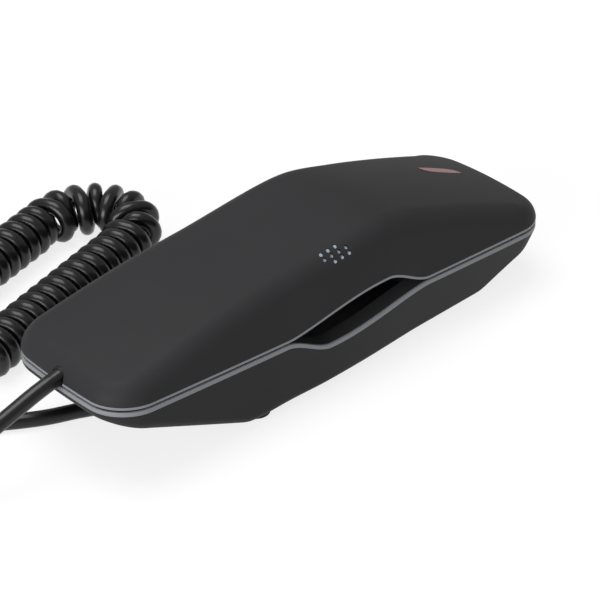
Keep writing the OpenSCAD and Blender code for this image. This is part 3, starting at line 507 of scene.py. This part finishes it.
def loft(name, rows, closed=False, flip=False):
    """Skin over rows of half sections and their mirrors, with capped ends unless the rows close up."""
    rings = []
    for row in rows:
        mirror = row[-2:0:-1] * (1, -1, 1)
        rings.append(np.concatenate((row, mirror)))
    n = len(rings[0])
    count = len(rings)
    faces = []
    for j in range(count if closed else count - 1):
        a, b = j * n, (j + 1) % count * n
        faces += [(a + i, a + (i + 1) % n, b + (i + 1) % n, b + i) for i in range(n)]
    if not closed:
        half = n // 2
        for base, way in ((0, 1), ((count - 1) * n, -1)):
            cap = [(base, base + n - 1, base + 1)]
            cap += [(base + k, base + n - k, base + n - k - 1, base + k + 1) for k in range(1, half - 1)]
            cap.append((base + half - 1, base + half + 1, base + half))
            faces += [f[::way] for f in cap]
    if flip:
        faces = [f[::-1] for f in faces]
    return add_mesh(name, placed(np.concatenate(rings)), faces)


# Cutting
SHARP = radians(32)
CUT_PAST = 1
CUT_DEEP = 6
CUT_TALL = 40


def prism(name, outline, low, high, place):
    """A straight block over a plan outline, from low to high, in millimetres."""
    n = len(outline)
    points = [(x, y, z) for z in (low, high) for x, y in outline]
    faces = [(i, (i + 1) % n, n + (i + 1) % n, n + i) for i in range(n)]
    faces += [tuple(range(n - 1, -1, -1)), tuple(range(n, 2 * n))]
    return add_mesh(name, placed(points, place), faces, smooth=False)


def circle(d, sides=32):
    return [(d / 2 * cos(2 * pi * k / sides), d / 2 * sin(2 * pi * k / sides)) for k in range(sides)]


def oblong(l, w, r, steps=8):
    """Rectangle with round corners, x along the phone."""
    points = []
    for q, (sx, sy) in enumerate(((1, 1), (-1, 1), (-1, -1), (1, -1))):
        for s in range(steps + 1):
            a = pi / 2 * (q + s / steps)
            points.append((sx * (l / 2 - r) + r * cos(a), sy * (w / 2 - r) + r * sin(a)))
    return points


def box_outline(x0, x1, y0, y1):
    return [(x0, y0), (x1, y0), (x1, y1), (x0, y1)]


def carve(obj, cutters, operation="DIFFERENCE"):
    """Cuts obj with the cutters for good, and shades what is left smooth except at sharp edges."""
    for c in cutters:
        mod = obj.modifiers.new("cut", "BOOLEAN")
        mod.object = c
        mod.operation = operation
        mod.solver = "EXACT"
    bpy.context.view_layer.update()
    deps = bpy.context.evaluated_depsgraph_get()
    data = bpy.data.meshes.new_from_object(obj.evaluated_get(deps))
    obj.modifiers.clear()
    obj.data = data
    data.polygons.foreach_set("use_smooth", [True] * len(data.polygons))
    data.set_sharp_from_angle(angle=SHARP)
    for c in cutters:
        bpy.data.objects.remove(c)
    return obj


def stand_in(piece, node, body):
    """Puts a piece in the place of a CAD node."""
    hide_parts(node)
    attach(piece, body)
    return piece


# Handset shell, with the grille's holes, the lamp's slot and the notch for the cord
SHELL_WALL = 2.2
SHELL_LEAN = radians(13.5)
SHELL_FILLET = 10
FACE_EDGE = 1.1
NOTCH_SLIP = 0.4
NOTCH_D = CORD_D + 2 * NOTCH_SLIP
NOTCH_OUT = 4
GLAND_L = 6
EXIT = SEAM @ at(-HALF_LEN, 0, EXIT_Z) @ turned(pi / 2 - EXIT_DIP, "Y")
GRILLE_AT = (-1.8, -26.65, 23.1)
GRILLE_TURN = radians(8)
GRILLE_UP = radians(50)
GRILLE = SEAM @ at(*GRILLE_AT) @ turned(-GRILLE_TURN, "Y") @ turned(pi / 2 - GRILLE_UP, "X")
HOLE_D = 1.7
HOLE_SIDES = 20
HOLE_STEP = (3.28, 2.23)
HOLE_ROWS = ((0, 2), (0, 3), (1, 3))
HOLE_MID = (1.5, 1)
LAMP_AT = (79.7, 5.9)
LAMP_LEN = 19.2
LAMP_W = 4.6
LAMP_TURN = radians(-20)
LAMP_LEAN = 0.6
LAMP_POWER = 4
LAMP_STEPS = 16
LAMP_SLOPE = atan(EAR_SLOPE + 2 * EAR_DROOP * max(0, LAMP_AT[0] - EAR_FROM))
LAMP_Z = float(back_z(*LAMP_AT))
LAMP = SEAM @ at(*LAMP_AT, LAMP_Z) @ turned(LAMP_SLOPE, "Y") @ turned(LAMP_TURN, "Z")


def shell_rim(x):
    return FACE_EDGE + SEAT + eye_rise(x)


def shell_slant(x):
    return np.full_like(x, SHELL_LEAN)


def cord_cutter():
    return prism("cut_cord", circle(NOTCH_D), -NOTCH_OUT, GLAND_FROM + GLAND_L + SEAT, EXIT)


def hole_places():
    """Places of the grille's holes: rows that each run from a first to a last column."""
    for row, (first, last) in enumerate(HOLE_ROWS):
        for column in range(first, last + 1):
            yield (column - HOLE_MID[0]) * HOLE_STEP[0], (HOLE_MID[1] - row) * HOLE_STEP[1]


def lens_edge(share, side):
    bulge = LAMP_W / 2 * (1 - share ** LAMP_POWER)
    return share * LAMP_LEN / 2, bulge * (LAMP_LEAN * share + side)


def lens_outline():
    """Outline of the lamp: pointed at both ends and leaning."""
    shares = np.linspace(-1, 1, LAMP_STEPS + 1)
    return [lens_edge(s, -1) for s in shares] + [lens_edge(s, 1) for s in shares[-2:0:-1]]


def make_handset_shell():
    shell = loft("handset_shell_skin", hollow(SHELL_WALL, shell_rim, back_z, shell_slant, SHELL_FILLET))
    cutters = [
        prism("cut_hole", circle(HOLE_D, HOLE_SIDES), -CUT_DEEP, CUT_DEEP, GRILLE @ at(x, y, 0))
        for x, y in hole_places()
    ]
    cutters.append(prism("cut_lamp", lens_outline(), -CUT_DEEP, CUT_DEEP, LAMP))
    cutters.append(cord_cutter())
    return stand_in(carve(shell, cutters), "handset_shell", "handset")


handset_shell = make_handset_shell()

# Handset face, with its layout measured from the ear end
FACE_THICK = 2
FACE_INSET = SHELL_WALL + 2 * FIT
EDGE_R = 0.25
EDGE_MID = 0.075
KEY_W = 17
KEY_L = 10.6
KEY_GAP = 0.3
KEY_PROUD = 0.9
COLUMN_PITCH = 17.4
COLUMN_Y = [-COLUMN_PITCH, 0, COLUMN_PITCH]
FIRST_ROW_AT = 117.5
ROW_PITCH = 13.4
ROW_COUNT = 5
ROW_X = [HALF_LEN - FIRST_ROW_AT - ROW_PITCH * row for row in range(ROW_COUNT)]
ROW_SIZE = (KEY_L, 2 * COLUMN_PITCH + KEY_W)
ROW_CORNER = 1.3
VOLUME_AT = 99.7
VOLUME_X = HALF_LEN - VOLUME_AT
VOLUME_SIZE = (8, 21.2)
VOLUME_CORNER = 3.6
HOOK_AT = 75.6
HOOK_X = HALF_LEN - HOOK_AT
HOOK_SIZE = (8.8, 20.6)
HOOK_CORNER = 1
EAR_SLOT_AT = 28
EAR_X = HALF_LEN - EAR_SLOT_AT
EAR_SLOT = (2.2, 15)
EAR_CORNER_R = EAR_SLOT[0] / 2 - SEAT
MIC_X = -84
MIC_HOLE = 1.6
FACE_SCREW = (-90, 18)
SCREW_HOLE = 2.9
HEAD_HOLE = 5.6
HEAD_DEEP = 1.15


def face_row(d, height):
    return rim_row(d, lambda x: eye_rise(x) + height)


def face_rows():
    under = over_top(*half_outline(EDGE_R), lambda px, py, f: eye_rise(px), TOP_ROWS)
    over = over_top(*half_outline(FACE_INSET), lambda px, py, f: eye_rise(px) + FACE_THICK, TOP_ROWS)
    edge = [
        face_row(EDGE_R, 0),
        face_row(EDGE_MID, EDGE_MID),
        face_row(0, EDGE_R),
        face_row(0, FACE_EDGE),
        face_row(FACE_INSET, FACE_EDGE),
        face_row(FACE_INSET, FACE_THICK),
    ]
    return under[::-1] + edge + over


def window(x, outline):
    return prism("cut_window", outline, -CUT_TALL, CUT_TALL, SEAM @ at(x, 0, 0))


def make_handset_face():
    face = loft("handset_face_skin", face_rows())
    openings = [(x, ROW_SIZE, ROW_CORNER) for x in ROW_X]
    openings += [(VOLUME_X, VOLUME_SIZE, VOLUME_CORNER), (HOOK_X, HOOK_SIZE, HOOK_CORNER)]
    cutters = [window(x, oblong(l + 2 * KEY_GAP, w + 2 * KEY_GAP, r)) for x, (l, w), r in openings]
    cutters.append(window(EAR_X, oblong(*EAR_SLOT, EAR_CORNER_R)))
    cutters.append(window(MIC_X, circle(MIC_HOLE)))
    for side in (-1, 1):
        spot = SEAM @ at(FACE_SCREW[0], side * FACE_SCREW[1], 0)
        cutters.append(prism("cut_screw", circle(SCREW_HOLE), -CUT_PAST, FACE_THICK + CUT_PAST, spot))
        cutters.append(prism("cut_head", circle(HEAD_HOLE), -CUT_PAST, HEAD_DEEP, spot))
    cutters.append(cord_cutter())
    return stand_in(carve(face, cutters), "handset_face", "handset")


handset_face = make_handset_face()

# Base shell, with the recesses under it for the cord and the line socket
SEAM_GAP = 0.85
TRIM_H = 1.6
RIM_DEPTH = SEAM_GAP + TRIM_H
BASE_WALL = 2.4
BASE_FILLET = 4.4
LEAN_MID = 8.78
LEAN_RATE = 0.139
LEAN_LEAST = 4
LID_ROWS = 2
POCKET_L = 26
POCKET_FROM = POCKET_TO - POCKET_L
POCKET_TOP = 14.4
POCKET_WALL = 2
GLAND_BAY = (0, 11)
JACK_BAY = (-14, 15)
JACK_OPEN = (11.8, 5.6)
JACK_LOW = 6.5
BASE_GLAND_HOLE = 7.9
FOOT_AT = ((-36, 22.5), (58, 12))
FOOT_HOLE = 10.3
FOOT_INSET = 0.8
FOOT_TOP = UNDER_Z + FOOT_INSET
SCREW_AT = ((-14, 19), (45, 16))
BASE_HEAD_HOLE = 5.9
BASE_HEAD_H = 1.8
BASE_HEAD_TOP = UNDER_Z + BASE_HEAD_H


def base_rim(x):
    return RIM_DEPTH + SEAT + eye_drop(x)


def base_slant(x):
    return np.radians(np.maximum(LEAN_LEAST, LEAN_MID + LEAN_RATE * x))


def pocket(name, bay, grow):
    middle, width = bay
    side = width / 2 + grow
    outline = box_outline(POCKET_FROM - grow, POCKET_TO + grow, middle - side, middle + side)
    return prism(name, outline, -CUT_PAST, POCKET_TOP + grow, TABLE)


def gland_cutter():
    spot = TABLE @ at(POCKET_TO - CUT_PAST, GLAND_BAY[0], LEAD_Z) @ turned(pi / 2, "Y")
    return prism("cut_gland", circle(BASE_GLAND_HOLE), 0, POCKET_WALL + 2 * CUT_PAST, spot)


def jack_cutter():
    width, height = JACK_OPEN
    outline = box_outline(0, POCKET_WALL + 2 * CUT_PAST, -width / 2, width / 2)
    spot = TABLE @ at(POCKET_TO - CUT_PAST, JACK_BAY[0], 0)
    return prism("cut_jack", outline, JACK_LOW, JACK_LOW + height, spot)


def make_pockets(solid):
    """The recesses' own walls inside the base, open below and with holes for the cord and the socket."""
    walls = []
    for bay, hole in ((GLAND_BAY, gland_cutter), (JACK_BAY, jack_cutter)):
        wall = pocket("base_pocket_skin", bay, POCKET_WALL)
        carve(wall, [add_object("cut_solid", solid.data)], "INTERSECT")
        walls.append(carve(wall, [pocket("cut_room", bay, 0), hole()]))
    return walls


def under_cutters(places, d, top):
    """Round seats in the underside, at the places given and their mirror images."""
    return [
        prism("cut_under", circle(d), -CUT_PAST, top, TABLE @ at(x, side * y, 0))
        for x, y in places
        for side in (-1, 1)
    ]


def make_base_shell():
    rows = hollow(BASE_WALL, base_rim, under_depth, base_slant, BASE_FILLET)
    rows = [row * (1, 1, -1) for row in rows]
    outside = rows[:len(rows) // 2]
    edge = outside[-1]
    lid = over_top(edge[:, 0], edge[:, 1], lambda px, py, f: -base_rim(px), LID_ROWS)
    solid = loft("base_solid", outside + lid, flip=True)
    walls = make_pockets(solid)
    bpy.data.objects.remove(solid)
    shell = loft("base_shell_skin", rows, flip=True)
    cutters = [pocket("cut_pocket", bay, 0) for bay in (GLAND_BAY, JACK_BAY)]
    cutters += under_cutters(FOOT_AT, FOOT_HOLE, FOOT_TOP)
    cutters += under_cutters(SCREW_AT, BASE_HEAD_HOLE, BASE_HEAD_TOP)
    stand_in(carve(shell, cutters), "base_shell", "base")
    for wall in walls:
        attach(wall, "base")
    return [shell] + walls


base_shell = make_base_shell()

# Pale trim along the base's edge, with a ledge inside for the cradle's flange
TRIM_W = 0.9
FLANGE_DROP = 0.5
LEDGE_TOP = SEAM_GAP + (TRIM_H + FLANGE_DROP + SLIP) / 2


def trim_row(d, depth):
    return rim_row(d, lambda x: -depth - eye_drop(x))


def make_base_trim():
    rows = [
        trim_row(TRIM_W, SEAM_GAP),
        trim_row(EDGE_R, SEAM_GAP),
        trim_row(EDGE_MID, SEAM_GAP + EDGE_MID),
        trim_row(0, SEAM_GAP + EDGE_R),
        trim_row(0, RIM_DEPTH),
        trim_row(BASE_WALL, RIM_DEPTH),
        trim_row(BASE_WALL, LEDGE_TOP),
        trim_row(TRIM_W, LEDGE_TOP),
    ]
    trim = loft("base_trim_skin", rows, closed=True, flip=True)
    return stand_in(carve(trim, [cord_cutter()]), "base_trim", "base")


base_trim = make_base_trim()

# Legends of the keys, laid on the keys' own curve
LEGEND_LIFT = 0.07
DIGIT_H = 6.4
DIGIT_OUT = -2.6
LETTER_H = 2.9
LETTER_OUT = 3.4
VOLUME_H = 3.4
LETTERS = {
    "key_1": ("1", ""), "key_2": ("2", "ABC"), "key_3": ("3", "DEF"),
    "key_4": ("4", "GHI"), "key_5": ("5", "JKL"), "key_6": ("6", "MNO"),
    "key_7": ("7", "PQRS"), "key_8": ("8", "TUV"), "key_9": ("9", "WXYZ"),
    "key_star": ("*", ""), "key_0": ("0", ""), "key_hash": ("#", ""),
    "key_hold": ("", "HOLD"), "key_flash": ("", "FLASH"), "key_redial": ("", "RD/P"),
}


def text_mesh(words, height):
    curve = bpy.data.curves.new("words", "FONT")
    curve.body = words
    curve.size = height
    curve.align_x = "CENTER"
    curve.align_y = "CENTER"
    obj = add_object("words", curve)
    bpy.context.view_layer.update()
    data = bpy.data.meshes.new_from_object(obj.evaluated_get(bpy.context.evaluated_depsgraph_get()))
    bpy.data.objects.remove(obj)
    points = [v.co.copy() for v in data.vertices]
    faces = [tuple(p.vertices) for p in data.polygons]
    return points, faces


def legend(node, words, height, x, y):
    """Flat words on a key, about the place given, to be read with the ear end up."""
    points, faces = text_mesh(words, height)
    laid = []
    for p in points:
        px, py = x + p.y, y + p.x
        laid.append((px, py, float(eye_rise(px)) - KEY_PROUD - LEGEND_LIFT))
    name = "legend_" + node.replace("key_", "") + ("_word" if len(words) > 1 else "_sign")
    piece = add_mesh(name, placed(laid), faces, smooth=False)
    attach(piece, node)
    return piece


legends = []
for i, (node, (sign, word)) in enumerate(LETTERS.items()):
    row, column = divmod(i, len(COLUMN_Y))
    key_x, key_y = ROW_X[row], COLUMN_Y[column]
    if sign:
        legends.append(legend(node, sign, DIGIT_H, key_x, key_y + (DIGIT_OUT if word else 0)))
    if word:
        legends.append(legend(node, word, LETTER_H, key_x, key_y + (LETTER_OUT if sign else 0)))
legends.append(legend("volume_key", "VOL", VOLUME_H, VOLUME_X, 0))


# Finishes, by material slot
MOTTLE_SCALE = 60
GRAIN_DEEP = 0.2
GRAIN_DETAIL = 2
FINISH = {}


def add_finish(slot, colour, rough, grain, bump, spread, metal=0, shine=0.5):
    """A plain finish: one colour with a little mottling, and a fine grain raised in the surface."""
    FINISH[slot] = bpy.data.materials.new(slot)
    FINISH[slot].use_nodes = True
    tree = FINISH[slot].node_tree
    shader = tree.nodes["Principled BSDF"]
    shader.inputs["Roughness"].default_value = rough
    shader.inputs["Metallic"].default_value = metal
    shader.inputs["Specular IOR Level"].default_value = shine
    shader.inputs["Base Color"].default_value = (*colour, 1)
    place = tree.nodes.new("ShaderNodeTexCoord")
    mottle = tree.nodes.new("ShaderNodeTexNoise")
    mottle.inputs["Scale"].default_value = MOTTLE_SCALE
    mix = tree.nodes.new("ShaderNodeMixRGB")
    mix.inputs["Color1"].default_value = (*[c * (1 - spread) for c in colour], 1)
    mix.inputs["Color2"].default_value = (*[c * (1 + spread) for c in colour], 1)
    noise = tree.nodes.new("ShaderNodeTexNoise")
    noise.inputs["Scale"].default_value = grain
    noise.inputs["Detail"].default_value = GRAIN_DETAIL
    raised = tree.nodes.new("ShaderNodeBump")
    raised.inputs["Strength"].default_value = bump
    raised.inputs["Distance"].default_value = GRAIN_DEEP * MM
    tree.links.new(place.outputs["Object"], mottle.inputs["Vector"])
    tree.links.new(mottle.outputs["Fac"], mix.inputs["Fac"])
    tree.links.new(mix.outputs["Color"], shader.inputs["Base Color"])
    tree.links.new(place.outputs["Object"], noise.inputs["Vector"])
    tree.links.new(noise.outputs["Fac"], raised.inputs["Height"])
    tree.links.new(raised.outputs["Normal"], shader.inputs["Normal"])


add_finish("shell_black", (0.021, 0.021, 0.0225), 0.6, 2600, 0.12, 0.06, shine=0.16)
add_finish("well_black", (0.032, 0.032, 0.034), 0.6, 2600, 0.12, 0.06, shine=0.16)
add_finish("face_grey", (0.19, 0.197, 0.214), 0.42, 1800, 0.05, 0.03)
add_finish("key_black", (0.01, 0.01, 0.011), 0.42, 1800, 0.05, 0.05, shine=0.35)
add_finish("volume_red", (0.5, 0.012, 0.02), 0.3, 900, 0.02, 0.03)
add_finish("lamp_red", (0.15, 0.022, 0.028), 0.22, 900, 0.02, 0.05)
add_finish("cord_black", (0.0045, 0.0045, 0.005), 0.28, 900, 0.04, 0.08, shine=0.4)
add_finish("soft_black", (0.01, 0.01, 0.01), 0.6, 1500, 0.1, 0.05, shine=0.3)
add_finish("mat_rubber", (0.45, 0.46, 0.47), 0.6, 1200, 0.05, 0.03)
add_finish("steel", (0.55, 0.55, 0.57), 0.35, 900, 0.03, 0.04, metal=1)
add_finish("board_green", (0.03, 0.14, 0.06), 0.4, 900, 0.03, 0.08)
add_finish("jack_clear", (0.6, 0.6, 0.58), 0.35, 900, 0.02, 0.03)
add_finish("switch_grey", (0.08, 0.08, 0.09), 0.5, 900, 0.03, 0.04)
add_finish("can_metal", (0.5, 0.5, 0.52), 0.4, 900, 0.03, 0.04, metal=1)
add_finish("ringer_brass", (0.6, 0.4, 0.12), 0.35, 900, 0.03, 0.04, metal=1)
add_finish("cloth_pale", (0.34, 0.43, 0.5), 0.8, 2400, 0.2, 0.08)
add_finish("led_pale", (0.8, 0.8, 0.8), 0.5, 900, 0.02, 0.02)


def paint(obj, slot):
    obj.data.materials.clear()
    obj.data.materials.append(FINISH[slot])


for part in frame["record"]["subparts"]:
    cad = nodes[part["node"]]
    for holder in cad.material_slots:
        holder.material = FINISH[part["material_slot"]]
    if not cad.material_slots:
        cad.data.materials.append(FINISH[part["material_slot"]])
for piece in (handset_lead, coil, base_lead):
    paint(piece, "cord_black")
for piece in [handset_shell] + base_shell:
    paint(piece, "shell_black")
for piece in (handset_face, base_trim):
    paint(piece, "face_grey")
for piece in legends:
    paint(piece, "led_pale")

# Softened edges on the keys and the lamp
KEY_EDGE = 0.3
LAMP_EDGE = 0.7
EDGE_SEGMENTS = 3
EDGE_ANGLE = radians(40)
for name in [*LETTERS, "volume_key", "hook_plunger", "lamp_lens"]:
    edge = nodes[name].modifiers.new("edge", "BEVEL")
    edge.width = (LAMP_EDGE if name == "lamp_lens" else KEY_EDGE) * MM
    edge.segments = EDGE_SEGMENTS
    edge.limit_method = "ANGLE"
    edge.angle_limit = EDGE_ANGLE


# Stage: a white table that keeps a faint shadow, and soft light, in metres and watts
FLOOR_SIZE = 24
FLOOR_WHITE = 0.92
FLOOR_ROUGH = 0.9
FLOOR_BOUNCE = 0.45
FLOOR_GLOW = 0.79
WORLD_LIGHT = 0.46
TOP_LIGHT = {"place": (-0.25, 0.35, 2.1), "size": (1.5, 1.5), "power": 33}
FILL_LIGHT = {"place": (-1.5, -0.4, 0.5), "size": (1.2, 0.8), "power": 20}


def seen_rays(tree):
    """1 on camera, glossy and transmission rays, 0 on the others."""
    path = tree.nodes.new("ShaderNodeLightPath")
    total = path.outputs["Is Camera Ray"]
    for ray in ("Is Glossy Ray", "Is Transmission Ray"):
        either = tree.nodes.new("ShaderNodeMath")
        either.operation = "MAXIMUM"
        tree.links.new(total, either.inputs[0])
        tree.links.new(path.outputs[ray], either.inputs[1])
        total = either.outputs[0]
    return total


def make_floor():
    h = FLOOR_SIZE / 2
    floor = add_mesh("floor", [(-h, -h, 0), (h, -h, 0), (h, h, 0), (-h, h, 0)], [(0, 1, 2, 3)])
    m = bpy.data.materials.new("floor_white")
    m.use_nodes = True
    tree = m.node_tree
    white = tree.nodes["Principled BSDF"]
    white.inputs["Base Color"].default_value = (FLOOR_WHITE, FLOOR_WHITE, FLOOR_WHITE, 1)
    white.inputs["Roughness"].default_value = FLOOR_ROUGH
    glow = tree.nodes.new("ShaderNodeEmission")
    shown = tree.nodes.new("ShaderNodeMixShader")
    shown.inputs["Fac"].default_value = FLOOR_GLOW
    bounce = tree.nodes.new("ShaderNodeBsdfDiffuse")
    bounce.inputs["Color"].default_value = (FLOOR_BOUNCE, FLOOR_BOUNCE, FLOOR_BOUNCE, 1)
    mix = tree.nodes.new("ShaderNodeMixShader")
    tree.links.new(white.outputs["BSDF"], shown.inputs[1])
    tree.links.new(glow.outputs["Emission"], shown.inputs[2])
    tree.links.new(seen_rays(tree), mix.inputs["Fac"])
    tree.links.new(bounce.outputs["BSDF"], mix.inputs[1])
    tree.links.new(shown.outputs["Shader"], mix.inputs[2])
    tree.links.new(mix.outputs["Shader"], tree.nodes["Material Output"].inputs["Surface"])
    floor.data.materials.append(m)


def area_light(name, place, size, power):
    """A lamp that faces the origin."""
    data = bpy.data.lights.new(name, "AREA")
    data.shape = "RECTANGLE"
    data.size, data.size_y = size
    data.energy = power
    light = add_object(name, data)
    way = -Vector(place)
    light.matrix_world = Matrix.Translation(place) @ way.to_track_quat("-Z", "Y").to_matrix().to_4x4()


def make_light():
    world = bpy.data.worlds.new("studio")
    world.use_nodes = True
    back = world.node_tree.nodes["Background"]
    back.inputs["Color"].default_value = (1, 1, 1, 1)
    back.inputs["Strength"].default_value = WORLD_LIGHT
    bpy.context.scene.world = world
    area_light("top_light", **TOP_LIGHT)
    area_light("fill_light", **FILL_LIGHT)


make_floor()
make_light()
bpy.context.scene.view_settings.view_transform = "Standard"
